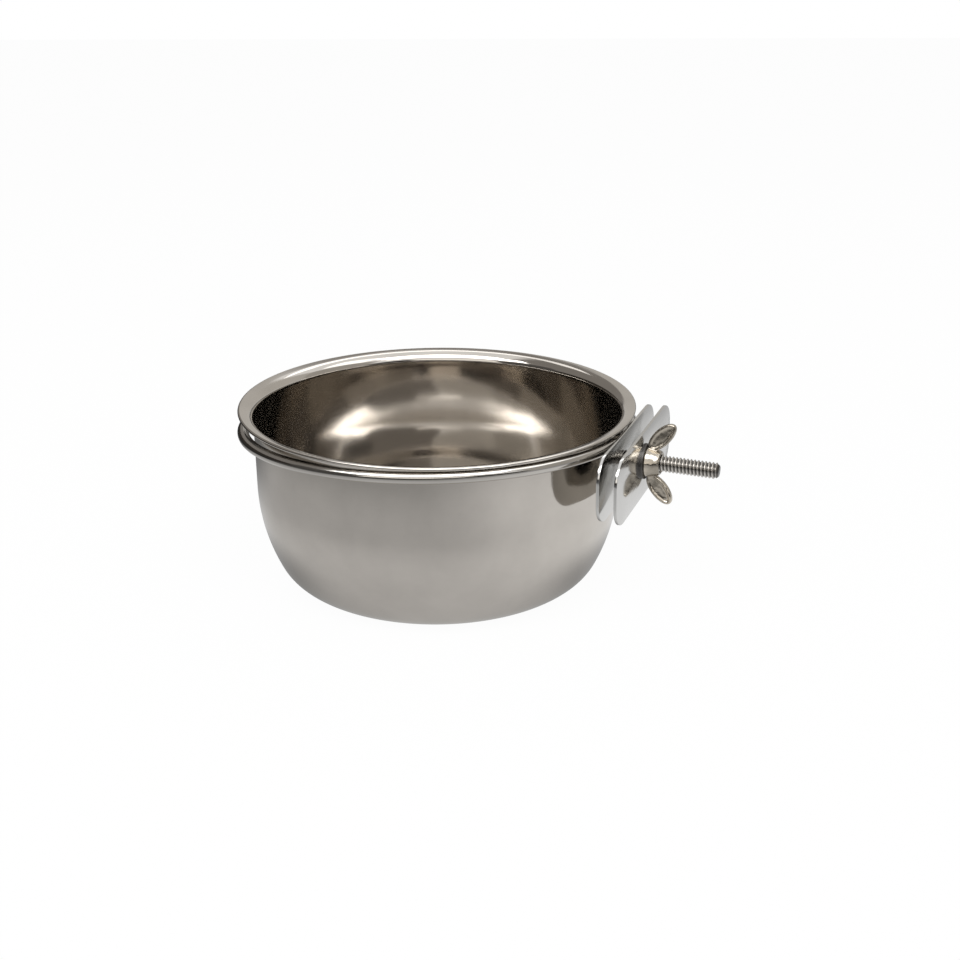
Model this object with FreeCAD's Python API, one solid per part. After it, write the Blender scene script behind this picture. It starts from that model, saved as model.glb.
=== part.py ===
"""Steel seed cup in a wire ring holder with a wing-nut clamp for a cage or coop wall.

Frame: origin at the centre of the cup's flat base, +Z up, +X out along the clamp bolt. Millimetres.
The cup stands on its base. The holder hangs a little askew under the rim, as photographed.
"""
import math
import os

import FreeCAD
import Part
from FreeCAD import Vector

# Cup: one deep-drawn steel sheet
CUP_H = 55.2          # base to top of rim
RIM_T = 1.0           # thickness of the hem
HEM_W = 1.1           # how far the hem folds back under the flange
WALL_R = 55.85        # outside of the upright wall
SHEET = 0.6
BELLY_Z = 31.0        # where the upright wall starts to curve in
BELLY_R = 55.1        # large curve of the side
CORNER_R = 12.7       # small curve into the base
NECK_R = 3.0          # curve from the wall out to the flange

# Holder ring: a loop of round wire, loose around the cup
WIRE_R = 1.75
RING_CLEAR = 1.4      # wall to wire, all round
RING_SEAT = 0.3       # wire to rim where the ring hangs highest
RING_TIP = 3.5        # degrees the ring hangs out of level
RING_TIP_AZ = -53.0   # direction of its highest side, from +X
RING_FLAT = 0.8      # depth of the flat where the plate is welded on
WIRE_PROUD = 0.45     # wire past the edge of the rim

# Clamp plates: two alike, one welded to the ring and one loose on the bolt
PLATE_L = 54.0
PLATE_H = 20.0
PLATE_T = 0.9
PLATE_CORNER = 7.0
PLATE_UNDER_RIM = 0.35  # plate's top edge below the rim's underside
PLATE_DROP = 0.65     # middle of the plates below the bolt
CLAMP_GAP = 4.2       # room for cage wire between the plates
FIXED_TURN = 3.0      # degrees the welded plate sits out of level
LOOSE_TURN = 4.0      # degrees the loose plate has swivelled on the bolt

# Bolt, washer and wing nut (3/16 inch, 24 threads per inch)
BOLT_R = 2.4
BOLT_LEN = 27.85      # under the head
BOLT_TIP = 0.5        # chamfer at the free end
HEAD_R = 3.9
HEAD_H = 2.2
HEAD_BEVEL = 0.8
PRESS = 0.05          # bolt in the fixed plate
LOOSE_CLEAR = 0.4     # bolt in the loose plate
WASHER_R = 5.2
WASHER_T = 0.7
WASHER_CLEAR = 0.35
NUT_CLEAR = 0.05
NUT_BASE_R = 4.5
NUT_TOP_R = 3.5
NUT_LEN = 4.3
NUT_BEVEL = 0.4
NUT_TURN = -2.0       # degrees the wings stand off upright
WING_LONG = 5.3       # half length of the leaf-shaped wing
WING_WIDE = 2.5       # half width
WING_T = 1.8
WING_LEAN = 48.0      # degrees the wing leans out along the bolt
WING_OUT = 7.85       # wing centre from the bolt's axis
WING_FWD = 4.1        # wing centre from the nut's base
WING_EDGE = 0.45

# Weld beads between ring and fixed plate
WELD_Y = (-2.0, 9.0)
WELD_LONG = 2.6       # half length
WELD_R = 1.7

# Places that follow from the sizes above
RING_R = WALL_R + RING_CLEAR + WIRE_R
RIM_R = RING_R + WIRE_R - WIRE_PROUD
RIM_UNDER = CUP_H - RIM_T
TIP = math.radians(RING_TIP)
RING_Z = RIM_UNDER - RING_SEAT - WIRE_R - RING_R * math.sin(TIP)
PLATE_X = RING_R + WIRE_R - RING_FLAT
PLATE_Z = RIM_UNDER - PLATE_UNDER_RIM - PLATE_H / 2
BOLT_Z = PLATE_Z + PLATE_DROP
LOOSE_X = PLATE_X + PLATE_T + CLAMP_GAP
WASHER_X = LOOSE_X + PLATE_T
NUT_X = WASHER_X + WASHER_T

UP = Vector(0, 0, 1)
OUT = Vector(1, 0, 0)
ON_BOLT = Vector(0, 0, BOLT_Z)


def arc(centre, radius, start, end):
    """Arc in the XZ plane around centre (x, z), angles in degrees from +X towards +Z."""
    def at(deg):
        a = math.radians(deg)
        return Vector(centre[0] + radius * math.cos(a), 0, centre[1] + radius * math.sin(a))
    return Part.Arc(at(start), at((start + end) / 2), at(end)).toShape()


def line(p, q):
    return Part.makeLine(Vector(p[0], 0, p[1]), Vector(q[0], 0, q[1]))


def belly_angle():
    """Angle at which the large side curve meets the corner curve."""
    return math.degrees(math.asin((BELLY_Z - CORNER_R) / (BELLY_R - CORNER_R)))


def side(depth):
    """Base, corner, belly, wall and neck, laid depth inside the outer surface."""
    turn = belly_angle()
    belly = (WALL_R - BELLY_R, BELLY_Z)
    corner_x = belly[0] + (BELLY_R - CORNER_R) * math.cos(math.radians(turn))
    neck = (WALL_R + NECK_R, CUP_H - SHEET - NECK_R)
    return [
        line((0, depth), (corner_x, depth)),
        arc((corner_x, CORNER_R), CORNER_R - depth, -90, -turn),
        arc(belly, BELLY_R - depth, -turn, 0),
        line((WALL_R - depth, BELLY_Z), (WALL_R - depth, neck[1])),
        arc(neck, NECK_R + depth, 180, 90),
    ]


def hem():
    """Flange and rim, from the outer end of the neck round to the inner end."""
    flange = WALL_R + NECK_R
    bead = (RIM_R - RIM_T / 2, CUP_H - RIM_T / 2)
    fold = RIM_R - HEM_W
    return [
        line((flange, CUP_H - SHEET), (fold, CUP_H - SHEET)),
        line((fold, CUP_H - SHEET), (fold, RIM_UNDER)),
        line((fold, RIM_UNDER), (bead[0], RIM_UNDER)),
        arc(bead, RIM_T / 2, -90, 90),
        line((bead[0], CUP_H), (flange, CUP_H)),
    ]


def cup():
    edges = side(0) + hem() + side(SHEET) + [line((0, 0), (0, SHEET))]
    profile = Part.Wire(Part.__sortEdges__(edges))
    return Part.Face(profile).revolve(Vector(0, 0, 0), UP, 360)


def holder_ring():
    ring = Part.makeTorus(RING_R, WIRE_R)
    high = math.radians(RING_TIP_AZ)
    hinge = Vector(math.sin(high), -math.cos(high), 0)
    ring.rotate(Vector(0, 0, 0), hinge, RING_TIP)
    ring.translate(Vector(0, 0, RING_Z))
    beyond = Part.makeBox(RING_R, 2 * RING_R, CUP_H, Vector(PLATE_X, -RING_R, 0))
    return ring.cut(beyond)


def plate(x, hole_r, turn):
    """Round-cornered plate square to the bolt, its inner face at x, turned about the bolt."""
    blank = Part.makeBox(PLATE_T, PLATE_L, PLATE_H, Vector(x, -PLATE_L / 2, PLATE_Z - PLATE_H / 2))
    corners = [e for e in blank.Edges if abs(e.tangentAt(e.FirstParameter).dot(OUT)) > 0.99]
    blank = blank.makeFillet(PLATE_CORNER, corners)
    blank = blank.cut(Part.makeCylinder(hole_r, PLATE_T, ON_BOLT + OUT * x, OUT))
    blank.rotate(ON_BOLT, OUT, turn)
    return blank


def fixed_plate():
    return plate(PLATE_X, BOLT_R + PRESS, FIXED_TURN)


def loose_plate():
    return plate(LOOSE_X, BOLT_R + LOOSE_CLEAR, LOOSE_TURN)


def clamp_bolt():
    head = Part.makeCylinder(HEAD_R, HEAD_H, ON_BOLT + OUT * (PLATE_X - HEAD_H), OUT)
    inner = [e for e in head.Edges if len(e.Vertexes) == 1 and e.CenterOfMass.x < PLATE_X - HEAD_H / 2]
    head = head.makeChamfer(HEAD_BEVEL, inner)
    shank = Part.makeCylinder(BOLT_R, BOLT_LEN - BOLT_TIP, ON_BOLT + OUT * PLATE_X, OUT)
    tip_at = ON_BOLT + OUT * (PLATE_X + BOLT_LEN - BOLT_TIP)
    tip = Part.makeCone(BOLT_R, BOLT_R - BOLT_TIP, BOLT_TIP, tip_at, OUT)
    return head.fuse([shank, tip]).removeSplitter()


def weld_beads():
    """Two short beads in the groove between the top of the ring and the fixed plate."""
    ring = holder_ring()
    lean = math.tan(TIP)
    high = math.radians(RING_TIP_AZ)
    beads = []
    for y in WELD_Y:
        x = math.sqrt(RING_R ** 2 - y ** 2)
        z = RING_Z + lean * (x * math.cos(high) + y * math.sin(high))
        middle = Vector(PLATE_X - WELD_R / 2, y, z + WIRE_R - WELD_R / 2)
        half = Vector(0, WELD_LONG - WELD_R, 0)
        bead = Part.makeCylinder(WELD_R, 2 * half.y, middle - half, Vector(0, 1, 0))
        ends = [Part.makeSphere(WELD_R, end) for end in (middle - half, middle + half)]
        bead = bead.fuse(ends).removeSplitter()
        beyond = Part.makeBox(RING_R, 2 * RING_R, CUP_H, Vector(PLATE_X, -RING_R, 0))
        beads.append(bead.cut([ring, beyond]))
    return Part.makeCompound(beads)


def flat_washer():
    disc = Part.makeCylinder(WASHER_R, WASHER_T, ON_BOLT + OUT * WASHER_X, OUT)
    return disc.cut(Part.makeCylinder(BOLT_R + WASHER_CLEAR, WASHER_T, ON_BOLT + OUT * WASHER_X, OUT))


def wing(turn):
    """One leaf-shaped wing beside the hub, turned about the bolt."""
    centre = ON_BOLT + Vector(NUT_X + WING_FWD, WING_T / 2, WING_OUT)
    lean = math.radians(WING_LEAN)
    leaf = Part.Ellipse(Vector(0, 0, 0), WING_LONG, WING_WIDE)
    leaf_axis = Vector(math.cos(lean), 0, math.sin(lean))
    face = Part.Face(Part.Wire(leaf.toShape()))
    face.Placement = FreeCAD.Placement(centre, FreeCAD.Rotation(leaf_axis, Vector(), Vector(0, -1, 0), "ZXY"))
    solid = face.extrude(Vector(0, -WING_T, 0))
    solid = solid.makeChamfer(WING_EDGE, [e for e in solid.Edges if len(e.Vertexes) == 1])
    solid.rotate(ON_BOLT, OUT, turn)
    return solid


def wing_nut():
    base = ON_BOLT + OUT * NUT_X
    hub = Part.makeCone(NUT_BASE_R, NUT_TOP_R, NUT_LEN, base, OUT)
    rims = [e for e in hub.Edges if len(e.Vertexes) == 1 and e.CenterOfMass.x > NUT_X + NUT_LEN / 2]
    hub = hub.makeChamfer(NUT_BEVEL, rims)
    nut = hub.fuse([wing(NUT_TURN), wing(NUT_TURN + 180)])
    bore = Part.makeCylinder(BOLT_R + NUT_CLEAR, NUT_LEN + 4 * WING_LONG, base, OUT)
    return nut.cut(bore).removeSplitter()


PIECES = {
    "cup": cup,
    "holder_ring": holder_ring,
    "fixed_plate": fixed_plate,
    "clamp_bolt": clamp_bolt,
    "weld_beads": weld_beads,
    "loose_plate": loose_plate,
    "flat_washer": flat_washer,
    "wing_nut": wing_nut,
}

os.makedirs("parts", exist_ok=True)
for name, make in PIECES.items():
    make().exportStep("parts/" + name + ".step")
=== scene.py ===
# %% [markdown]
# # A steel seed cup, its wire holder and its wing-nut clamp
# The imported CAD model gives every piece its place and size. This file dresses it: each piece is
# modelled again with rounded edges and true threads, and gets the polished metal of the real one.
# Everything is in metres, in the frame of the CAD: base of the cup at z = 0, clamp bolt along +X.

# %% Load the frame
import math
import bmesh
import bpy
from mathutils import Matrix, Vector


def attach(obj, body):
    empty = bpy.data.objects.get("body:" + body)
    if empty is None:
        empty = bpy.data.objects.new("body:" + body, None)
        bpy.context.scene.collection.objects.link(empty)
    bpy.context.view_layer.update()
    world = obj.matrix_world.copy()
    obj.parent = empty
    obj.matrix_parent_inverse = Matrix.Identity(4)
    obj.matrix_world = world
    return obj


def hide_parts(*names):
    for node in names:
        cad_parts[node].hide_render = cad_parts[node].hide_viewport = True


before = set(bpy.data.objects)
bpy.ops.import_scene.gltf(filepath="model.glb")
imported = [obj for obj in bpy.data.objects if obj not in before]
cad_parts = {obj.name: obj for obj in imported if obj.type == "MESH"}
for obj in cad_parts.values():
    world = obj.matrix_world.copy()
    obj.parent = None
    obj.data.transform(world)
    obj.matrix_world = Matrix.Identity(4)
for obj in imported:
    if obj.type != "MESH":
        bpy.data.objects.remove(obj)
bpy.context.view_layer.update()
MM = 0.001

# %% [markdown]
# ## Camera
# The photograph looks down on the cup by about 21 degrees, with the bolt pointing to the right and
# a little towards the viewer. The place was found by matching the ellipses of rim and base.
# A camera can be aimed by a constraint or by its angles; angles are plain and stay as written.

# %% Camera
VIEW_AZ = 23.0    # degrees from the -Y axis to the camera, seen from above

camera_data = bpy.data.cameras.new("view_camera")
camera_data.lens = 48.75
camera_data.sensor_width = 36
camera = bpy.data.objects.new("view_camera", camera_data)
camera.location = Vector((160.4, -344.2, 174.7)) * MM
camera.rotation_euler = (math.radians(68.97), math.radians(0.1), math.radians(VIEW_AZ))
bpy.context.collection.objects.link(camera)
bpy.context.scene.camera = camera
bpy.context.scene.view_settings.view_transform = "Standard"

# %% [markdown]
# ## Drawing and turning profiles
# Cup, ring, washer, bolt head and nut hub are all round, so each is a profile turned about an axis,
# as on a lathe. A profile is drawn like a pen line in the XZ plane: a vertex is extruded for a
# straight run and spun for an arc. That keeps arcs true, where a subdivided box would bulge.

# %% Pen and lathe
WIDE_STEPS, SMALL_STEPS = 288, 96    # faces round the cup and ring, and round washer and nut


def pen_at(bm, x, z):
    """Starts a line at (x, z), in millimetres."""
    return bmesh.ops.create_vert(bm, co=(x * MM, 0, z * MM))["vert"][0]


def line_to(bm, vert, x, z, steps=1):
    """Draws on to (x, z) in equal steps and returns the last vertex."""
    step = (Vector((x * MM, 0, z * MM)) - vert.co) / steps
    for _ in range(steps):
        vert = bmesh.ops.extrude_vert_indiv(bm, verts=[vert])["verts"][0]
        vert.co += step
    return vert


def arc_round(bm, vert, x, z, turn, steps):
    """Draws on round the centre (x, z) by turn degrees, positive from +X towards +Z."""
    made = bmesh.ops.spin(bm, geom=[vert], cent=(x * MM, 0, z * MM), axis=(0, -1, 0),
                          angle=math.radians(turn), steps=steps, use_duplicate=False)
    return [g for g in made["geom_last"] if isinstance(g, bmesh.types.BMVert)][0]


def again(bm, geom, matrix):
    """Doubles the geometry by a copy moved by the matrix, and returns both."""
    copy = bmesh.ops.duplicate(bm, geom=geom)["geom"]
    verts = [g for g in copy if isinstance(g, bmesh.types.BMVert)]
    bmesh.ops.transform(bm, verts=verts, matrix=matrix)
    return geom + copy


def lathe(bm, centre, axis, steps, drawn=None):
    """Turns a drawn profile once round the axis: an eighth is spun, and then doubled three times."""
    profile = drawn or bm.verts[:] + bm.edges[:]
    old_faces = set(bm.faces)
    bmesh.ops.spin(bm, geom=profile, cent=centre, axis=axis, angle=math.tau / 8,
                   steps=steps // 8, use_duplicate=False)
    faces = [f for f in bm.faces if f not in old_faces]
    corners = {v for f in faces for v in f.verts}
    sides = {e for f in faces for e in f.edges}
    turned = [*corners, *sides, *faces]
    to_axis = Matrix.Translation(centre)
    for share in (8, 4, 2):
        turn = Matrix.Rotation(math.tau / share, 4, Vector(axis))
        turned = again(bm, turned, to_axis @ turn @ to_axis.inverted())
    bmesh.ops.remove_doubles(bm, verts=bm.verts, dist=0.001 * MM)
    bmesh.ops.recalc_face_normals(bm, faces=bm.faces)


def cut_off(bm, x, side=1):
    """Cuts away what lies beyond x, or before it when side is -1."""
    bmesh.ops.bisect_plane(bm, geom=bm.verts[:] + bm.edges[:] + bm.faces[:], dist=1e-7,
                           plane_co=(x * MM, 0, 0), plane_no=(side, 0, 0), clear_outer=True)


def close_ends(bm):
    """Fills the openings that a cut leaves."""
    bmesh.ops.holes_fill(bm, edges=[e for e in bm.edges if e.is_boundary], sides=0)


def piece(name, bm, body, nodes, crease=35):
    """Makes the bmesh a named object that rides on a body and stands for CAD nodes."""
    mesh = bpy.data.meshes.new(name)
    bm.to_mesh(mesh)
    bm.free()
    mesh.shade_smooth()
    mesh.set_sharp_from_angle(angle=math.radians(crease))
    obj = bpy.data.objects.new(name, mesh)
    bpy.context.collection.objects.link(obj)
    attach(obj, body)
    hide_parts(*nodes)
    size = [round(s / MM, 2) for s in obj.dimensions]
    print(name, "faces", len(mesh.polygons), "size mm", size)
    return obj


# %% [markdown]
# ## Cup
# One sheet of steel, drawn deep: a flat base, a small corner curve, a long belly curve, an upright
# wall, and a neck that turns out to a flange whose edge is folded back under. The flange still
# rises a little outwards, which is why its front looks dark and its back bright. Both faces of the
# sheet are drawn, so the 0.6 mm wall is real and the fold at the rim has its own round edge.

# %% Cup
CUP_H, WALL_R, SHEET = 55.2, 55.85, 0.6
BELLY_Z, BELLY_R, CORNER_R, NECK_R = 31.0, 55.1, 12.7, 3.0
RIM_R, RIM_T, HEM_W = 60.3, 1.0, 1.1
belly_x = WALL_R - BELLY_R
belly_turn = math.degrees(math.asin((BELLY_Z - CORNER_R) / (BELLY_R - CORNER_R)))
corner_x = belly_x + (BELLY_R - CORNER_R) * math.cos(math.radians(belly_turn))
FLANGE_RISE = 13.0    # degrees
rise = math.radians(FLANGE_RISE)
rim_x, rim_z = RIM_R - RIM_T / 2, CUP_H - RIM_T / 2
neck_x = WALL_R + NECK_R
flange_run = rim_x - neck_x + (NECK_R + SHEET - RIM_T / 2) * math.sin(rise)
neck_z = rim_z + (RIM_T / 2 - NECK_R - SHEET) * math.cos(rise) - flange_run * math.tan(rise)
fold_x = RIM_R - HEM_W
fold_run = fold_x - neck_x + NECK_R * math.sin(rise)
fold_z = neck_z + NECK_R * math.cos(rise) + fold_run * math.tan(rise)

bm = bmesh.new()
tip = pen_at(bm, 0, 0)
tip = line_to(bm, tip, corner_x, 0, 10)
tip = arc_round(bm, tip, corner_x, CORNER_R, 90 - belly_turn, 28)
tip = arc_round(bm, tip, belly_x, BELLY_Z, belly_turn, 28)
tip = line_to(bm, tip, WALL_R, neck_z, 10)
tip = arc_round(bm, tip, neck_x, neck_z, FLANGE_RISE - 90, 12)
tip = line_to(bm, tip, fold_x, fold_z)
tip = line_to(bm, tip, fold_x, CUP_H - RIM_T)
tip = line_to(bm, tip, rim_x, CUP_H - RIM_T)
tip = arc_round(bm, tip, rim_x, rim_z, 180 + FLANGE_RISE, 14)
flange_end = (neck_x - (NECK_R + SHEET) * math.sin(rise), neck_z + (NECK_R + SHEET) * math.cos(rise))
tip = line_to(bm, tip, *flange_end, 2)
tip = arc_round(bm, tip, neck_x, neck_z, 90 - FLANGE_RISE, 14)
tip = line_to(bm, tip, WALL_R - SHEET, BELLY_Z, 10)
tip = arc_round(bm, tip, belly_x, BELLY_Z, -belly_turn, 28)
tip = arc_round(bm, tip, corner_x, CORNER_R, belly_turn - 90, 28)
line_to(bm, tip, 0, SHEET, 10)
lathe(bm, (0, 0, 0), (0, 0, 1), WIDE_STEPS)
cup = piece("cup_bowl", bm, "cup", ["cup"])

# %% [markdown]
# ## Holder ring
# A loop of 3.5 mm round wire, wider than the cup, that the rim hangs on. In the photograph it hangs
# a few degrees out of level. A circle of wire is spun to a hoop, tipped about the hinge line that
# the photograph gives, and ground flat where the plate is welded on.

# %% Holder ring
WIRE_R, RING_R = 1.735, 59.0
RING_TIP, RING_TIP_AZ = math.radians(3.5), math.radians(-53.0)
RING_DROP = 2.05      # rim's underside to the middle of the wire where the ring hangs highest
PLATE_X = 59.95
hinge = Vector((-math.sin(RING_TIP_AZ), math.cos(RING_TIP_AZ), 0))
tip_turn = Matrix.Rotation(-RING_TIP, 4, hinge)
ring_z = CUP_H - RIM_T - RING_DROP - RING_R * math.sin(RING_TIP)

bm = bmesh.new()
bmesh.ops.create_circle(bm, segments=40, radius=WIRE_R * MM)
bmesh.ops.rotate(bm, verts=bm.verts, cent=(0, 0, 0), matrix=Matrix.Rotation(math.radians(90), 3, "X"))
bmesh.ops.translate(bm, verts=bm.verts, vec=(RING_R * MM, 0, 0))
lathe(bm, (0, 0, 0), (0, 0, 1), WIDE_STEPS)
bmesh.ops.transform(bm, verts=bm.verts, matrix=Matrix.Translation((0, 0, ring_z * MM)) @ tip_turn)
cut_off(bm, PLATE_X)
close_ends(bm)
ring = piece("wire_ring", bm, "holder", ["holder_ring"])

# %% [markdown]
# ## Clamp plates
# Two stamped plates of 0.9 mm sheet, 54 by 20 mm with round corners. One is welded to the ring, the
# other slides and turns on the bolt. A square is stretched, its corners are bevelled round, the
# outline is bridged to a hole, and the sheet is extruded and given the worn edge of a stamping.

# %% Clamp plates
PLATE_L, PLATE_H, PLATE_T, PLATE_CORNER = 54.0, 20.0, 0.9, 7.0
BOLT_Z, PLATE_DROP, CLAMP_GAP = 44.5, 0.65, 4.2
FIXED_HOLE, LOOSE_HOLE = 2.45, 2.8
FIXED_TURN, LOOSE_TURN = 3.0, 4.0    # degrees about the bolt
EDGE_WEAR = 0.16
LOOSE_X = PLATE_X + PLATE_T + CLAMP_GAP


def stamped_plate(x, hole_r, turn):
    """A plate with its inner face at x, turned about the bolt by so many degrees."""
    bm = bmesh.new()
    bmesh.ops.create_grid(bm, x_segments=1, y_segments=1, size=0.5)
    bmesh.ops.scale(bm, verts=bm.verts, vec=(PLATE_H * MM, PLATE_L * MM, 1))
    bmesh.ops.bevel(bm, geom=bm.verts[:], offset=PLATE_CORNER * MM, segments=20, profile=0.5,
                    affect="VERTICES", material=-1)
    bmesh.ops.translate(bm, verts=bm.verts, vec=(PLATE_DROP * MM, 0, 0))
    bmesh.ops.delete(bm, geom=bm.faces[:], context="FACES_ONLY")
    bmesh.ops.create_circle(bm, segments=48, radius=hole_r * MM)
    bmesh.ops.bridge_loops(bm, edges=bm.edges[:])
    made = bmesh.ops.extrude_face_region(bm, geom=bm.faces[:])
    top = [g for g in made["geom"] if isinstance(g, bmesh.types.BMVert)]
    bmesh.ops.translate(bm, verts=top, vec=(0, 0, PLATE_T * MM))
    bmesh.ops.recalc_face_normals(bm, faces=bm.faces)
    rims = [e for e in bm.edges if e.calc_face_angle(0) > math.radians(60)]
    bmesh.ops.bevel(bm, geom=rims, offset=EDGE_WEAR * MM, segments=3, profile=0.5,
                    affect="EDGES", material=-1)
    stand = Matrix.Rotation(math.radians(90), 4, "Y")
    place = Matrix.Translation((x * MM, 0, BOLT_Z * MM)) @ Matrix.Rotation(math.radians(turn), 4, "X")
    bmesh.ops.transform(bm, verts=bm.verts, matrix=place @ stand)
    return bm


fixed_plate = piece("welded_plate", stamped_plate(PLATE_X, FIXED_HOLE, FIXED_TURN),
                    "holder", ["fixed_plate"], crease=25)
loose_plate = piece("swivel_plate", stamped_plate(LOOSE_X, LOOSE_HOLE, LOOSE_TURN),
                    "loose_plate", ["loose_plate"], crease=25)

# %% [markdown]
# ## Clamp bolt
# A 3/16 inch bolt with 24 threads per inch, pressed into the welded plate. A rolled thread is one
# groove profile carried along a helix: the profile is spun about the bolt while it moves on by one
# pitch per turn. The end is then turned down to a short cone, as a thread die leaves it.

# %% Clamp bolt
BOLT_R, BOLT_ROOT, PITCH, BOLT_LEN = 2.4, 1.9, 1.058, 27.85
BOLT_END, BOLT_TIP = PLATE_X + BOLT_LEN, 0.8
BURIED = 0.1          # how far the thread runs on into the head, and the welds into the plate
THREAD_STEPS = 40
# shares of the pitch, and the radius there
THREAD_FORM = ((0.10, BOLT_ROOT), (0.42, BOLT_R - 0.05), (0.47, BOLT_R), (0.57, BOLT_R),
               (0.62, BOLT_R - 0.05), (0.94, BOLT_ROOT + 0.02), (1.0, BOLT_ROOT))

bm = bmesh.new()
tip = pen_at(bm, PLATE_X - PITCH, BOLT_Z + BOLT_ROOT)
for share, radius in THREAD_FORM:
    tip = line_to(bm, tip, PLATE_X - PITCH + share * PITCH, BOLT_Z + radius)
bmesh.ops.spin(bm, geom=bm.verts[:] + bm.edges[:], cent=(0, 0, BOLT_Z * MM), axis=(1, 0, 0),
               dvec=(PITCH * MM / THREAD_STEPS, 0, 0), angle=math.tau,
               steps=THREAD_STEPS, use_duplicate=False)
thread = bm.verts[:] + bm.edges[:] + bm.faces[:]
for turns in (1, 2, 4, 8, 16):
    thread = again(bm, thread, Matrix.Translation((turns * PITCH * MM, 0, 0)))
bmesh.ops.remove_doubles(bm, verts=bm.verts, dist=0.002 * MM)
cut_off(bm, PLATE_X - BURIED, -1)
cut_off(bm, BOLT_END)
for v in bm.verts:
    radius = math.hypot(v.co.y, v.co.z - BOLT_Z * MM)
    most = BOLT_R * MM - max(0, v.co.x - (BOLT_END - BOLT_TIP) * MM)
    if radius > most:
        v.co.y *= most / radius
        v.co.z = BOLT_Z * MM + (v.co.z - BOLT_Z * MM) * most / radius
close_ends(bm)
bmesh.ops.recalc_face_normals(bm, faces=bm.faces)

HEAD_R, HEAD_H, HEAD_ROUND, HEAD_STEPS = 3.9, 2.2, 1.2, 64
tip = pen_at(bm, PLATE_X - HEAD_H, BOLT_Z)
tip = line_to(bm, tip, PLATE_X - HEAD_H, BOLT_Z + HEAD_R - HEAD_ROUND, 3)
tip = arc_round(bm, tip, PLATE_X - HEAD_H + HEAD_ROUND, BOLT_Z + HEAD_R - HEAD_ROUND, -90, 10)
tip = line_to(bm, tip, PLATE_X, BOLT_Z + HEAD_R)
line_to(bm, tip, PLATE_X, BOLT_Z, 3)
head = [v for v in bm.verts if not v.link_faces]
head_edges = [e for e in bm.edges if not e.link_faces]
lathe(bm, (0, 0, BOLT_Z * MM), (1, 0, 0), HEAD_STEPS, head + head_edges)
bolt = piece("threaded_bolt", bm, "holder", ["clamp_bolt"], crease=50)

# %% [markdown]
# ## Weld beads
# Two spots of weld join the ring and the plate. Weld metal freezes as a soft lump, so each is a
# ball, stretched along the seam and a little rippled, and cut off just inside the plate.

# %% Weld beads
WELD_R, WELD_LONG, WELD_Y = 1.7, 2.6, (-2.0, 9.0)
RIPPLE_ALONG, RIPPLE_ACROSS = 0.04, 0.05    # shares of the bead's size


def weld_bead(bm, y):
    """One bead on top of the ring, against the plate's inner face."""
    x = math.sqrt(RING_R ** 2 - y ** 2)
    z = ring_z + math.tan(RING_TIP) * (x * math.cos(RING_TIP_AZ) + y * math.sin(RING_TIP_AZ))
    ball = bmesh.ops.create_icosphere(bm, subdivisions=5, radius=1)["verts"]
    bmesh.ops.scale(bm, verts=ball, vec=(WELD_R * MM, WELD_LONG * MM, WELD_R * MM))
    for v in ball:
        x_mm, y_mm, z_mm = v.co / MM
        v.co *= 1 + RIPPLE_ALONG * math.sin(5 * y_mm) + RIPPLE_ACROSS * math.sin(3 * x_mm + 4 * z_mm)
    middle = Vector((PLATE_X - WELD_R / 2, y, z + WIRE_R - WELD_R / 2))
    bmesh.ops.translate(bm, verts=ball, vec=middle * MM)


bm = bmesh.new()
for y in WELD_Y:
    weld_bead(bm, y)
cut_off(bm, PLATE_X + BURIED)
close_ends(bm)
welds = piece("weld_spots", bm, "holder", ["weld_beads"], crease=50)

# %% [markdown]
# ## Washer
# A punched disc between the loose plate and the nut. The punch rounds one edge and leaves the
# other square, which the profile shows.

# %% Washer
WASHER_R, WASHER_T, WASHER_HOLE, WASHER_ROUND = 5.2, 0.7, 2.75, 0.25
WASHER_X = LOOSE_X + PLATE_T
bm = bmesh.new()
tip = pen_at(bm, WASHER_X, BOLT_Z + WASHER_HOLE)
tip = line_to(bm, tip, WASHER_X, BOLT_Z + WASHER_R)
tip = line_to(bm, tip, WASHER_X + WASHER_T - WASHER_ROUND, BOLT_Z + WASHER_R)
tip = arc_round(bm, tip, WASHER_X + WASHER_T - WASHER_ROUND, BOLT_Z + WASHER_R - WASHER_ROUND, -90, 5)
tip = line_to(bm, tip, WASHER_X + WASHER_T, BOLT_Z + WASHER_HOLE)
line_to(bm, tip, WASHER_X, BOLT_Z + WASHER_HOLE)
lathe(bm, (0, 0, BOLT_Z * MM), (1, 0, 0), SMALL_STEPS)
washer = piece("punched_washer", bm, "washer", ["flat_washer"])

# %% [markdown]
# ## Wing nut
# A cast nut: a cone-shaped hub with two leaf-shaped wings that lean out along the bolt. Castings
# have no sharp inside corners, so hub and wings are built apart, joined by a fine voxel remesh,
# and smoothed, which leaves the soft fillets of a mould.

# %% Wing nut
NUT_X = WASHER_X + WASHER_T
HUB_R, HUB_TOP_R, HUB_LEN, HUB_BEVEL, HUB_BORE = 4.45, 3.6, 4.3, 0.4, 2.5
WING_LONG, WING_WIDE, WING_T, WING_EDGE = 5.25, 2.5, 1.8, 0.4
WING_LEAN, WING_OUT, WING_FWD = 48.0, 7.85, 4.1    # degrees; middle from the axis and the base
BORDER, BORDER_SLOPE, RECESS = 0.75, 0.35, 0.3     # round each wing's recess: flat, slope, depth
NUT_TURN = -2.0       # degrees the wings stand off upright
VOXEL, SMOOTHINGS = 0.14, 6

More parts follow.
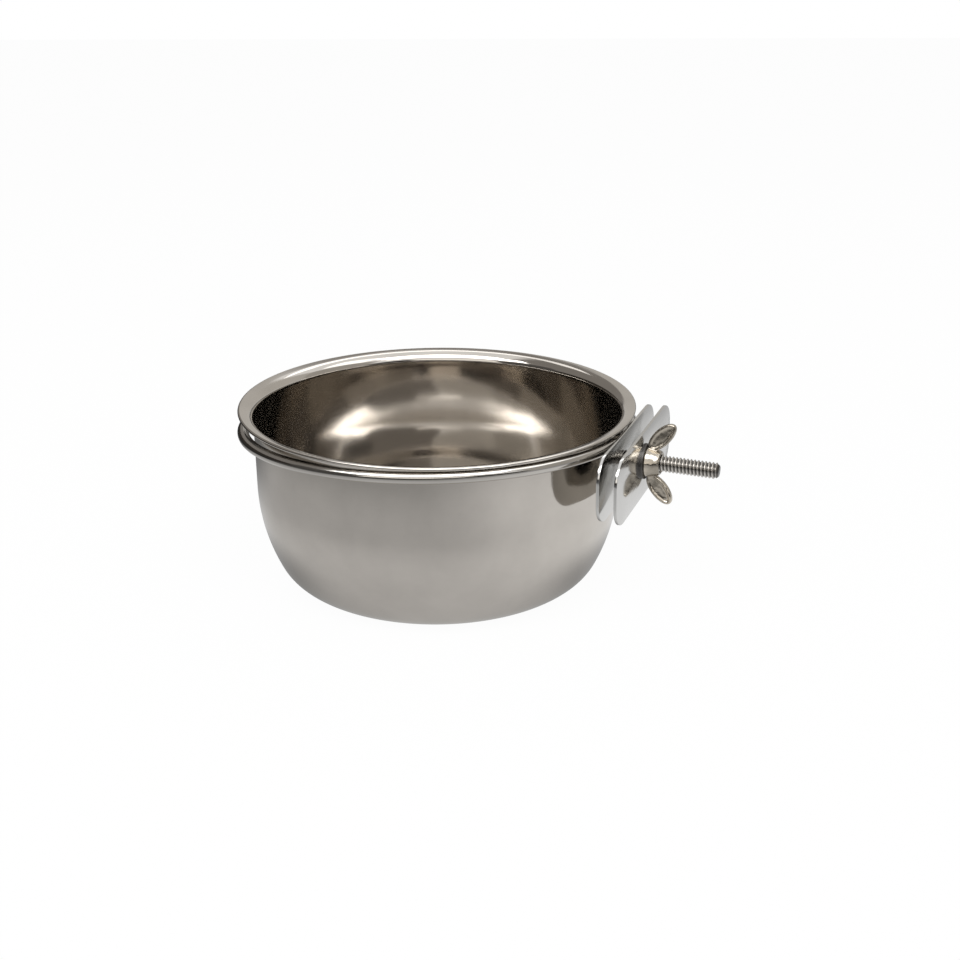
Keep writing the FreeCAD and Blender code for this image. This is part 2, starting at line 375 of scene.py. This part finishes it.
bm = bmesh.new()
tip = pen_at(bm, NUT_X, BOLT_Z + HUB_BORE)
tip = line_to(bm, tip, NUT_X, BOLT_Z + HUB_R)
tip = line_to(bm, tip, NUT_X + HUB_LEN - HUB_BEVEL, BOLT_Z + HUB_TOP_R)
tip = line_to(bm, tip, NUT_X + HUB_LEN, BOLT_Z + HUB_TOP_R - HUB_BEVEL)
tip = line_to(bm, tip, NUT_X + HUB_LEN, BOLT_Z + HUB_BORE + HUB_BEVEL)
tip = line_to(bm, tip, NUT_X + HUB_LEN - HUB_BEVEL, BOLT_Z + HUB_BORE)
line_to(bm, tip, NUT_X, BOLT_Z + HUB_BORE)
lathe(bm, (0, 0, BOLT_Z * MM), (1, 0, 0), SMALL_STEPS)
for turn in (NUT_TURN, NUT_TURN + 180):
    wing = bmesh.new()
    bmesh.ops.create_circle(wing, cap_ends=True, segments=64, radius=1)
    bmesh.ops.scale(wing, verts=wing.verts, vec=(WING_LONG * MM, WING_WIDE * MM, 1))
    made = bmesh.ops.extrude_face_region(wing, geom=wing.faces[:])
    far = [g for g in made["geom"] if isinstance(g, bmesh.types.BMVert)]
    bmesh.ops.translate(wing, verts=far, vec=(0, 0, WING_T * MM))
    bmesh.ops.recalc_face_normals(wing, faces=wing.faces)
    flats = [f for f in wing.faces if len(f.verts) > 4]
    bmesh.ops.inset_individual(wing, faces=flats, thickness=BORDER * MM, depth=0)
    bmesh.ops.inset_individual(wing, faces=flats, thickness=BORDER_SLOPE * MM, depth=-RECESS * MM)
    rims = [e for e in wing.edges if e.calc_face_angle(0) > 1]
    bmesh.ops.bevel(wing, geom=rims, offset=WING_EDGE * MM, segments=4, profile=0.5,
                    affect="EDGES", material=-1)
    middle = Vector((NUT_X + WING_FWD, WING_T / 2, WING_OUT)) * MM
    lay = (Matrix.Translation((0, 0, BOLT_Z * MM)) @ Matrix.Rotation(math.radians(turn), 4, "X")
           @ Matrix.Translation(middle) @ Matrix.Rotation(math.radians(90), 4, "X")
           @ Matrix.Rotation(math.radians(WING_LEAN), 4, "Z"))
    bmesh.ops.transform(wing, verts=wing.verts, matrix=lay)
    leaf = bpy.data.meshes.new("wing_leaf")
    wing.to_mesh(leaf)
    wing.free()
    bm.from_mesh(leaf)
bmesh.ops.recalc_face_normals(bm, faces=bm.faces)
rough_mesh = bpy.data.meshes.new("nut_blank")
bm.to_mesh(rough_mesh)
bm.free()
blank = bpy.data.objects.new("nut_blank", rough_mesh)
bpy.context.collection.objects.link(blank)
cast = blank.modifiers.new("cast", "REMESH")
cast.mode = "VOXEL"
cast.voxel_size = VOXEL * MM
cast_blank = blank.evaluated_get(bpy.context.evaluated_depsgraph_get())
bm = bmesh.new()
bm.from_mesh(bpy.data.meshes.new_from_object(cast_blank))
bpy.data.objects.remove(blank)
for _ in range(SMOOTHINGS):
    bmesh.ops.smooth_vert(bm, verts=bm.verts, factor=0.5,
                          use_axis_x=True, use_axis_y=True, use_axis_z=True)
nut = piece("cast_wing_nut", bm, "wing_nut", ["wing_nut"], crease=80)

# %% [markdown]
# ## Node helpers
# A material is a chain of small steps. Most helpers add one node, fed with plain values or with the
# results of other nodes, and hand back its result, so that a whole formula reads in a line or two.

# %% Node helpers
def feed(links, socket, value):
    """Sets a socket to a plain value, or links it to the result of another node."""
    if isinstance(value, bpy.types.NodeSocket):
        links.new(value, socket)
    else:
        socket.default_value = value


def math_node(nodes, links, operation, *values):
    """The result of a Math node."""
    node = nodes.new("ShaderNodeMath")
    node.operation = operation
    for socket, value in zip(node.inputs, values):
        feed(links, socket, value)
    return node.outputs["Value"]


def ramp(nodes, links, value, start, end, low, high, kind="LINEAR"):
    """Turns a value from low, at start, to high, at end, and holds it beyond them."""
    node = nodes.new("ShaderNodeMapRange")
    node.interpolation_type = kind
    for name, given in (("Value", value), ("From Min", start), ("From Max", end),
                        ("To Min", low), ("To Max", high)):
        feed(links, node.inputs[name], given)
    return node.outputs["Result"]


def soft_step(nodes, links, value, start, end, low, high):
    """A ramp that starts and ends smoothly."""
    return ramp(nodes, links, value, start, end, low, high, "SMOOTHSTEP")


def noise(nodes, links, place, scale, detail, roughness=0.5):
    """A soft random pattern, around one half, at a place."""
    node = nodes.new("ShaderNodeTexNoise")
    for name, given in (("Vector", place), ("Scale", scale),
                        ("Detail", detail), ("Roughness", roughness)):
        feed(links, node.inputs[name], given)
    return node.outputs["Fac"]


def vector_node(nodes, links, operation, vector):
    """The outputs of a Vector Math node."""
    node = nodes.new("ShaderNodeVectorMath")
    node.operation = operation
    links.new(vector, node.inputs[0])
    return node.outputs


def parts_of(nodes, links, vector):
    """A vector's X, Y and Z."""
    node = nodes.new("ShaderNodeSeparateXYZ")
    links.new(vector, node.inputs["Vector"])
    return node.outputs


def ray_kinds(nodes, links):
    """Two masks: rays that come from the camera, and rays that come off gloss or through glass."""
    rays = nodes.new("ShaderNodeLightPath").outputs
    gloss = math_node(nodes, links, "MAXIMUM", rays["Is Glossy Ray"], rays["Is Transmission Ray"])
    return rays["Is Camera Ray"], gloss


def use_group(nodes, links, tree, values):
    """The outputs of a node that runs a group, fed by socket names."""
    node = nodes.new("ShaderNodeGroup")
    node.node_tree = tree
    for name, value in values.items():
        feed(links, node.inputs[name], value)
    return node.outputs


def new_group(name, taken, given):
    """An empty group: its tree, and the sockets that lead in and out. Sockets are (name, kind)."""
    tree = bpy.data.node_groups.new(name, "ShaderNodeTree")
    for way, sockets in (("INPUT", taken), ("OUTPUT", given)):
        for socket, kind in sockets:
            tree.interface.new_socket(socket, in_out=way, socket_type="NodeSocket" + kind)
    return tree, tree.nodes.new("NodeGroupInput").outputs, tree.nodes.new("NodeGroupOutput").inputs


# %% [markdown]
# ## Metal finishes
# Polished steel is never a perfect mirror. Polishing leaves fine lines in one direction, handling
# leaves faint hazy patches, and pressing leaves long soft waves. One node group makes all three
# from a position, and each material gives it its own direction and strengths.

# %% Finish group
PATCH_SCALE, PATCH_FROM, PATCH_TO = 70, 0.35, 0.7    # hazy patches: scale, and where haze sets in
BUMP_DEPTH = 0.001


def finish_group():
    """Colour, roughness and normal of worked metal, from a stretched place and a plain place."""
    tree, given, out = new_group(
        "worked_metal",
        (("Lines place", "Vector"), ("Place", "Vector"), ("Colour", "Color"), ("Roughness", "Float"),
         ("Haze", "Float"), ("Line depth", "Float"), ("Wave depth", "Float"), ("Wave scale", "Float"),
         ("Stain", "Float"), ("Painted shade", "Float")),
        (("Colour", "Color"), ("Roughness", "Float"), ("Normal", "Vector")))
    nodes, links = tree.nodes, tree.links
    lines = noise(nodes, links, given["Lines place"], 1, 5, 0.6)
    patches = noise(nodes, links, given["Place"], PATCH_SCALE, 4, 0.55)
    waves = noise(nodes, links, given["Place"], given["Wave scale"], 1)
    haze = ramp(nodes, links, patches, PATCH_FROM, PATCH_TO, 0, 1)

    hazy = math_node(nodes, links, "MULTIPLY_ADD", haze, given["Haze"], given["Roughness"])
    lined = math_node(nodes, links, "MULTIPLY_ADD", lines, given["Haze"], hazy)
    links.new(lined, out["Roughness"])

    # Random stains darken the hazy patches; the painted shade in hollows is added on top.
    lost = math_node(nodes, links, "MULTIPLY_ADD", haze, given["Stain"], given["Painted shade"])
    bright = math_node(nodes, links, "SUBTRACT", 1, lost)
    bright.node.use_clamp = True
    tint = vector_node(nodes, links, "SCALE", given["Colour"])["Vector"]
    links.new(bright, tint.node.inputs["Scale"])
    links.new(tint, out["Colour"])

    grooves = math_node(nodes, links, "MULTIPLY", lines, given["Line depth"])
    bump = nodes.new("ShaderNodeBump")
    bump.inputs["Strength"].default_value = 1
    bump.inputs["Distance"].default_value = BUMP_DEPTH
    feed(links, bump.inputs["Height"],
         math_node(nodes, links, "MULTIPLY_ADD", waves, given["Wave depth"], grooves))
    links.new(bump.outputs["Normal"], out["Normal"])
    return tree


worked_metal = finish_group()

# %% [markdown]
# ## Lines that run round a turned piece, or along a sheet
# On the cup, polishing lines run round the axis, so their pattern must change with height and
# radius but hardly with the angle. On plates they run along the sheet. A second group turns a
# position into radius, direction and height, so that a plain stretch then works for round pieces
# too. A little of the direction goes into the radius as well, or the two halves would be mirrored.

# %% Round-the-axis group
MIRROR_BREAK = 0.004


def turned_group():
    """Radius, direction and height about the Z axis, as a vector."""
    tree, given, out = new_group("turned_place", (("Place", "Vector"),), (("Place", "Vector"),))
    nodes, links = tree.nodes, tree.links
    place = parts_of(nodes, links, given["Place"])
    flat = nodes.new("ShaderNodeCombineXYZ")
    for axis in ("X", "Y"):
        links.new(place[axis], flat.inputs[axis])
    flat = flat.outputs["Vector"]
    radius = vector_node(nodes, links, "LENGTH", flat)["Value"]
    way = parts_of(nodes, links, vector_node(nodes, links, "NORMALIZE", flat)["Vector"])
    joined = nodes.new("ShaderNodeCombineXYZ")
    feed(links, joined.inputs["X"],
         math_node(nodes, links, "MULTIPLY_ADD", way["X"], MIRROR_BREAK, radius))
    links.new(way["Y"], joined.inputs["Y"])
    links.new(place["Z"], joined.inputs["Z"])
    links.new(joined.outputs["Vector"], out["Place"])
    return tree


turned_place = turned_group()

# %% [markdown]
# ## Painted shade in the thread
# The root of a thread and the nut's hub round its bore are painted darker than the crests, as
# painted shade in these hollows. A third group measures the distance from the bolt's axis and
# turns it into a mask: strong at the root and nothing at the crest.

# %% Thread shade group
def thread_shade_group():
    """How much painted shade darkens a place, from its distance to the bolt's axis."""
    tree, given, out = new_group(
        "thread_root_shade",
        (("Place", "Vector"), ("Root", "Float"), ("Crest", "Float"), ("Strength", "Float")),
        (("Painted shade", "Float"),))
    nodes, links = tree.nodes, tree.links
    across = nodes.new("ShaderNodeMapping")
    across.inputs["Location"].default_value = (0, 0, -BOLT_Z * MM)
    across.inputs["Scale"].default_value = (0, 1, 1)
    links.new(given["Place"], across.inputs["Vector"])
    radius = vector_node(nodes, links, "LENGTH", across.outputs["Vector"])["Value"]
    lost = ramp(nodes, links, radius, given["Root"], given["Crest"], given["Strength"], 0)
    links.new(lost, out["Painted shade"])
    return tree


thread_root_shade = thread_shade_group()

# %% [markdown]
# ## The metals
# Every piece has a finish of its own. The cup and the wire are polished, the plates are bright
# sheet, the bolt and the nut are plated, and the washer is plain steel painted nearly black, as
# painted shade of the narrow gap between the loose plate and the nut. Line depth and wave depth
# are in millimetres, and the stretch says how many lines lie across a metre on each axis.

# %% Metal maker
def metal(name, colour, roughness, haze, lines, waves, stretch,
          stain=0.08, wave_scale=26, turned=False, shade_at_root=None):
    """A metal material whose polishing lines are stretched along one direction."""
    material = bpy.data.materials.new(name)
    material.use_nodes = True
    nodes, links = material.node_tree.nodes, material.node_tree.links
    shader = nodes["Principled BSDF"]
    shader.inputs["Metallic"].default_value = 1
    place = nodes.new("ShaderNodeTexCoord").outputs["Object"]
    source = use_group(nodes, links, turned_place, {"Place": place})["Place"] if turned else place
    pull = nodes.new("ShaderNodeMapping")
    pull.inputs["Scale"].default_value = stretch
    links.new(source, pull.inputs["Vector"])
    painted_shade = 0
    # Painted shade: thread roots and the nut's hub near its bore are darkened by distance to the
    # bolt's axis.
    if shade_at_root:
        root, crest, strength = shade_at_root
        deep = {"Place": place, "Root": root, "Crest": crest, "Strength": strength}
        painted_shade = use_group(nodes, links, thread_root_shade, deep)["Painted shade"]
    finish = use_group(nodes, links, worked_metal, {
        "Lines place": pull.outputs["Vector"], "Place": place, "Colour": (*colour, 1),
        "Roughness": roughness, "Haze": haze, "Line depth": lines, "Wave depth": waves,
        "Wave scale": wave_scale, "Stain": stain, "Painted shade": painted_shade})
    for socket, result in (("Base Color", "Colour"), ("Roughness", "Roughness"),
                           ("Normal", "Normal")):
        links.new(finish[result], shader.inputs[socket])
    return material


cup_steel = metal("cup_steel", (0.62, 0.585, 0.54), roughness=0.055, haze=0.045,
                  lines=0.0006, waves=0.03, stretch=(2500, 8, 2500), turned=True)
wire_steel = metal("wire_steel", (0.58, 0.555, 0.52), roughness=0.07, haze=0.05,
                   lines=0.001, waves=0.01, stretch=(900, 900, 900))
weld_steel = metal("weld_steel", (0.66, 0.65, 0.63), roughness=0.14, haze=0.12,
                   lines=0.01, waves=0.08, stretch=(900, 900, 900), stain=0.3, wave_scale=500)
plate_steel = metal("plate_steel", (0.64, 0.635, 0.62), roughness=0.08, haze=0.06,
                    lines=0.001, waves=0.02, stretch=(3000, 60, 3000))
# Bolt and nut carry painted shade at the thread root and round the nut's bore.
bolt_steel = metal("bolt_steel", (0.62, 0.59, 0.55), roughness=0.12, haze=0.08,
                   lines=0.002, waves=0.0, stretch=(2500, 400, 400), stain=0.15,
                   shade_at_root=((BOLT_ROOT + 0.05) * MM, (BOLT_R - 0.1) * MM, 0.75))
# The washer's near-black colour is painted shade for the narrow gap between loose plate and nut.
washer_steel = metal("washer_steel", (0.12, 0.115, 0.11), roughness=0.25, haze=0.15,
                     lines=0.003, waves=0.0, stretch=(1500, 1500, 1500), stain=0.3)
nut_nickel = metal("nut_nickel", (0.66, 0.60, 0.51), roughness=0.08, haze=0.10,
                   lines=0.015, waves=0.32, stretch=(1100, 1100, 1100), stain=0.45, wave_scale=480,
                   shade_at_root=((HUB_BORE + 0.1) * MM, (HUB_R + 0.15) * MM, 0.45))
for obj, material in ((cup, cup_steel), (ring, wire_steel), (welds, weld_steel),
                      (fixed_plate, plate_steel), (loose_plate, plate_steel),
                      (bolt, bolt_steel), (washer, washer_steel), (nut, nut_nickel)):
    obj.data.materials.append(material)
print("materials:", len(bpy.data.materials))

# %% [markdown]
# ## Studio
# Polished metal shows the room, so the room is part of the finish: a pale floor, four soft lamps,
# and walls that are mostly darker than the white above. Walls could be modelled as a room, but plain
# cards that only gloss sees are easier to place. Places are given as directions seen from the cup: a
# bearing clockwise from straight away from the camera, and a height above the floor, in degrees.

# %% Directions from the cup
VIEW_TURN = Matrix.Rotation(math.radians(VIEW_AZ), 3, "Z")
AIM = Vector((0, 0, 0.03))    # about the middle of the cup


def toward(bearing, height):
    """The point a metre from the cup, at this bearing and height."""
    b, h = math.radians(bearing), math.radians(height)
    return VIEW_TURN @ Vector((math.cos(h) * math.sin(b), math.cos(h) * math.cos(b), math.sin(h)))


def aimed(place, front):
    """The turn that points an object's front axis at the cup and keeps its sides level."""
    return (AIM - place).to_track_quat(front, "Y").to_euler()


def flat_piece(name, size, place, turn):
    """A staged rectangle."""
    bm = bmesh.new()
    bmesh.ops.create_grid(bm, x_segments=1, y_segments=1, size=0.5)
    bmesh.ops.scale(bm, verts=bm.verts, vec=(size[0], size[1], 1))
    mesh = bpy.data.meshes.new(name)
    bm.to_mesh(mesh)
    bm.free()
    obj = bpy.data.objects.new(name, mesh)
    obj.location = place
    obj.rotation_euler = turn
    bpy.context.collection.objects.link(obj)
    return obj


# %% [markdown]
# ## Floor and surround
# The photograph's ground is pure white. The floor takes the object's shadow as a plain matt sheet
# would, and for the camera a share of plain white is mixed in, so no extra light is needed. Gloss
# sees a glowing floor with painted light and shade: a painted shadow under and behind the cup, and
# a sheet painted brighter on the right, that ends in a dim room.

# %% Floor
# Places in metres from the middle of the cup: R is the distance, X to the right, Y away from the
# camera. Each pair is where a change starts and ends, or the levels before and after it.
UNDER_R, UNDER_Y, UNDER_SHADOW_PAINT = (0.052, 0.078), (-0.055, -0.02), (0.04, 0.50)    # painted shadow under the cup, seen by gloss
BEHIND_Y, BEHIND_SHADOW_PAINT = (0.02, 0.11), (0, 0.66)         # painted shade of the cup behind it
BEHIND_X, BEHIND_LEFT = (0.05, 0.10), (1, 0.1)          # less so on the right
SHEET_R, SHEET_LEVEL = (0.078, 0.135), (0.63, 0.50)     # the open sheet, painted as lit
RIGHT_X, RIGHT_PAINTED_LIGHT = (-0.01, 0.14), (0, 0.34)          # painted light, brighter on the right
END_R = (0.14, 0.25)                                    # where the sheet ends
FAR_FRONT_X, FAR_FRONT = (-0.16, 0.26), (0.10, 0.40)    # the room in front of the sheet
FAR_BACK_X, FAR_BACK = (-0.02, 0.14), (0.03, 0.55)      # the room behind it
FRONT_TO_BACK_Y = (-0.02, 0.06)
FLOOR_SIZE = (8, 8)
CAMERA_WHITE = 0.965    # plain white's share for the camera; the rest shows the shadow

floor = flat_piece("studio_floor", FLOOR_SIZE, (0, 0, 0), (0, 0, math.radians(VIEW_AZ)))
floor_white = bpy.data.materials.new("floor_white")
floor_white.use_nodes = True
nodes, links = floor_white.node_tree.nodes, floor_white.node_tree.links
matt = nodes["Principled BSDF"]
matt.inputs["Base Color"].default_value = (0.88, 0.88, 0.88, 1)
matt.inputs["Roughness"].default_value = 0.9
matt.inputs["Specular IOR Level"].default_value = 0.1
spot = nodes.new("ShaderNodeTexCoord").outputs["Object"]
at = parts_of(nodes, links, spot)
reach = vector_node(nodes, links, "LENGTH", spot)["Value"]

# Painted shadow and light for gloss rays: the glow is darker under and behind the cup, and brighter
# on the lit right.
painted_shadow_under = math_node(nodes, links, "MULTIPLY",
                       soft_step(nodes, links, at["Y"], *UNDER_Y, *UNDER_SHADOW_PAINT),
                       soft_step(nodes, links, reach, *UNDER_R, 1, 0))
painted_shadow_behind = math_node(nodes, links, "MULTIPLY",
                        soft_step(nodes, links, at["Y"], *BEHIND_Y, *BEHIND_SHADOW_PAINT),
                        soft_step(nodes, links, at["X"], *BEHIND_X, *BEHIND_LEFT))
in_shade = math_node(nodes, links, "MULTIPLY",
                     math_node(nodes, links, "SUBTRACT", 1, painted_shadow_under),
                     math_node(nodes, links, "SUBTRACT", 1, painted_shadow_behind))
painted_lit_sheet = math_node(nodes, links, "ADD",
                      soft_step(nodes, links, at["X"], *RIGHT_X, *RIGHT_PAINTED_LIGHT),
                      soft_step(nodes, links, reach, *SHEET_R, *SHEET_LEVEL))
near = math_node(nodes, links, "MULTIPLY", painted_lit_sheet, in_shade)
far_front = soft_step(nodes, links, at["X"], *FAR_FRONT_X, *FAR_FRONT)
far_back = soft_step(nodes, links, at["X"], *FAR_BACK_X, *FAR_BACK)
change = math_node(nodes, links, "MULTIPLY",
                   math_node(nodes, links, "SUBTRACT", far_back, far_front),
                   soft_step(nodes, links, at["Y"], *FRONT_TO_BACK_Y, 0, 1))
far = math_node(nodes, links, "ADD", far_front, change)
past_end = math_node(nodes, links, "MULTIPLY",
                     math_node(nodes, links, "SUBTRACT", far, near),
                     soft_step(nodes, links, reach, *END_R, 0, 1))
gloss_level = math_node(nodes, links, "ADD", near, past_end)

seen_by_camera, seen_by_gloss = ray_kinds(nodes, links)
below_white = math_node(nodes, links, "MULTIPLY", seen_by_gloss,
                        math_node(nodes, links, "SUBTRACT", gloss_level, 1))
glow = nodes.new("ShaderNodeEmission")
links.new(math_node(nodes, links, "ADD", below_white, 1), glow.inputs["Strength"])
mix = nodes.new("ShaderNodeMixShader")
camera_share = math_node(nodes, links, "MULTIPLY", seen_by_camera, CAMERA_WHITE)
links.new(math_node(nodes, links, "MAXIMUM", camera_share, seen_by_gloss), mix.inputs["Fac"])
links.new(matt.outputs["BSDF"], mix.inputs[1])
links.new(glow.outputs["Emission"], mix.inputs[2])
links.new(mix.outputs["Shader"], nodes["Material Output"].inputs["Surface"])
floor.data.materials.append(floor_white)

# %% Surround
WORLD_LIGHT = 0.45    # white for the camera and for gloss, and this for the matt floor

world = bpy.data.worlds.new("studio_world")
bpy.context.scene.world = world
world.use_nodes = True
nodes, links = world.node_tree.nodes, world.node_tree.links
white_rays = math_node(nodes, links, "MAXIMUM", *ray_kinds(nodes, links))
level = math_node(nodes, links, "MULTIPLY_ADD", white_rays, 1 - WORLD_LIGHT, WORLD_LIGHT)
links.new(level, nodes["Background"].inputs["Strength"])
nodes["Background"].inputs["Color"].default_value = (1, 1, 1, 1)

# %% [markdown]
# ## Lamps and cards
# The bright arcs in the cup's inner corner are the wide front lamp and the small left one; their
# heights follow from where those arcs lie. The dim walls give the upper steel its brown tone and the
# wire its dark lines, and a low bright strip in front makes the light streaks on the far wall.

# %% Lamps
def softbox(name, bearing, height, size, brightness):
    """A rectangular lamp a metre from the cup; its power follows from its brightness and size."""
    data = bpy.data.lights.new(name, "AREA")
    data.shape = "RECTANGLE"
    data.size, data.size_y = size
    data.energy = brightness * math.pi * size[0] * size[1]
    lamp = bpy.data.objects.new(name, data)
    lamp.location = toward(bearing, height)
    lamp.rotation_euler = aimed(lamp.location, "-Z")
    bpy.context.collection.objects.link(lamp)


# name, bearing and height in degrees, width and height in metres, brightness
softbox("lamp_front", 180, 57, (1.15, 0.50), 3.5)
softbox("lamp_left", 236, 43, (0.34, 0.26), 4.0)
softbox("lamp_right", 100, 55, (0.50, 0.38), 1.05)
softbox("lamp_back", 0, 52, (0.85, 0.24), 1.15)


# %% Cards
CARD_SOFT = 0.25    # share of a card's half width that fades out


def card(name, bearing, height, half_wide, half_high, colour):
    """A plain card with soft edges, sized in degrees, that only glossy surfaces see."""
    half = (math.tan(math.radians(half_wide)), math.tan(math.radians(half_high)))
    place = toward(bearing, height)
    obj = flat_piece(name, (2 * half[0], 2 * half[1]), place, aimed(place, "Z"))
    material = bpy.data.materials.new(name)
    material.use_nodes = True
    nodes, links = material.node_tree.nodes, material.node_tree.links
    nodes.remove(nodes["Principled BSDF"])
    at = parts_of(nodes, links, nodes.new("ShaderNodeTexCoord").outputs["Object"])
    shown = 1
    for side, edge in (("X", half[0]), ("Y", half[1])):
        out = math_node(nodes, links, "ABSOLUTE", at[side])
        kept = soft_step(nodes, links, out, edge * (1 - CARD_SOFT), edge, 1, 0)
        shown = math_node(nodes, links, "MULTIPLY", kept, shown)
    glow = nodes.new("ShaderNodeEmission")
    glow.inputs["Color"].default_value = (*colour, 1)
    clear = nodes.new("ShaderNodeBsdfTransparent")
    mix = nodes.new("ShaderNodeMixShader")
    links.new(shown, mix.inputs["Fac"])
    links.new(clear.outputs["BSDF"], mix.inputs[1])
    links.new(glow.outputs["Emission"], mix.inputs[2])
    links.new(mix.outputs["Shader"], nodes["Material Output"].inputs["Surface"])
    obj.data.materials.append(material)
    obj.visible_camera = obj.visible_diffuse = False
    obj.visible_shadow = obj.visible_transmission = False


# name, bearing, height, half width and half height in degrees, colour
card("wall_left", 295, 36, 55, 32, (0.26, 0.245, 0.23))
card("low_left", 290, 2, 62, 24, (0.04, 0.035, 0.03))
card("low_front", 190, 0, 76, 30, (0.04, 0.035, 0.03))
card("front_strip", 195, 19, 36, 10, (1.25, 1.2, 1.13))
card("low_corner", 243, 18, 24, 15, (0.10, 0.095, 0.09))
card("low_back", 30, -8, 64, 19, (0.06, 0.055, 0.05))
card("back_band", 45, 26, 60, 18, (0.58, 0.56, 0.53))
card("wall_right", 105, 18, 28, 26, (0.45, 0.43, 0.40))
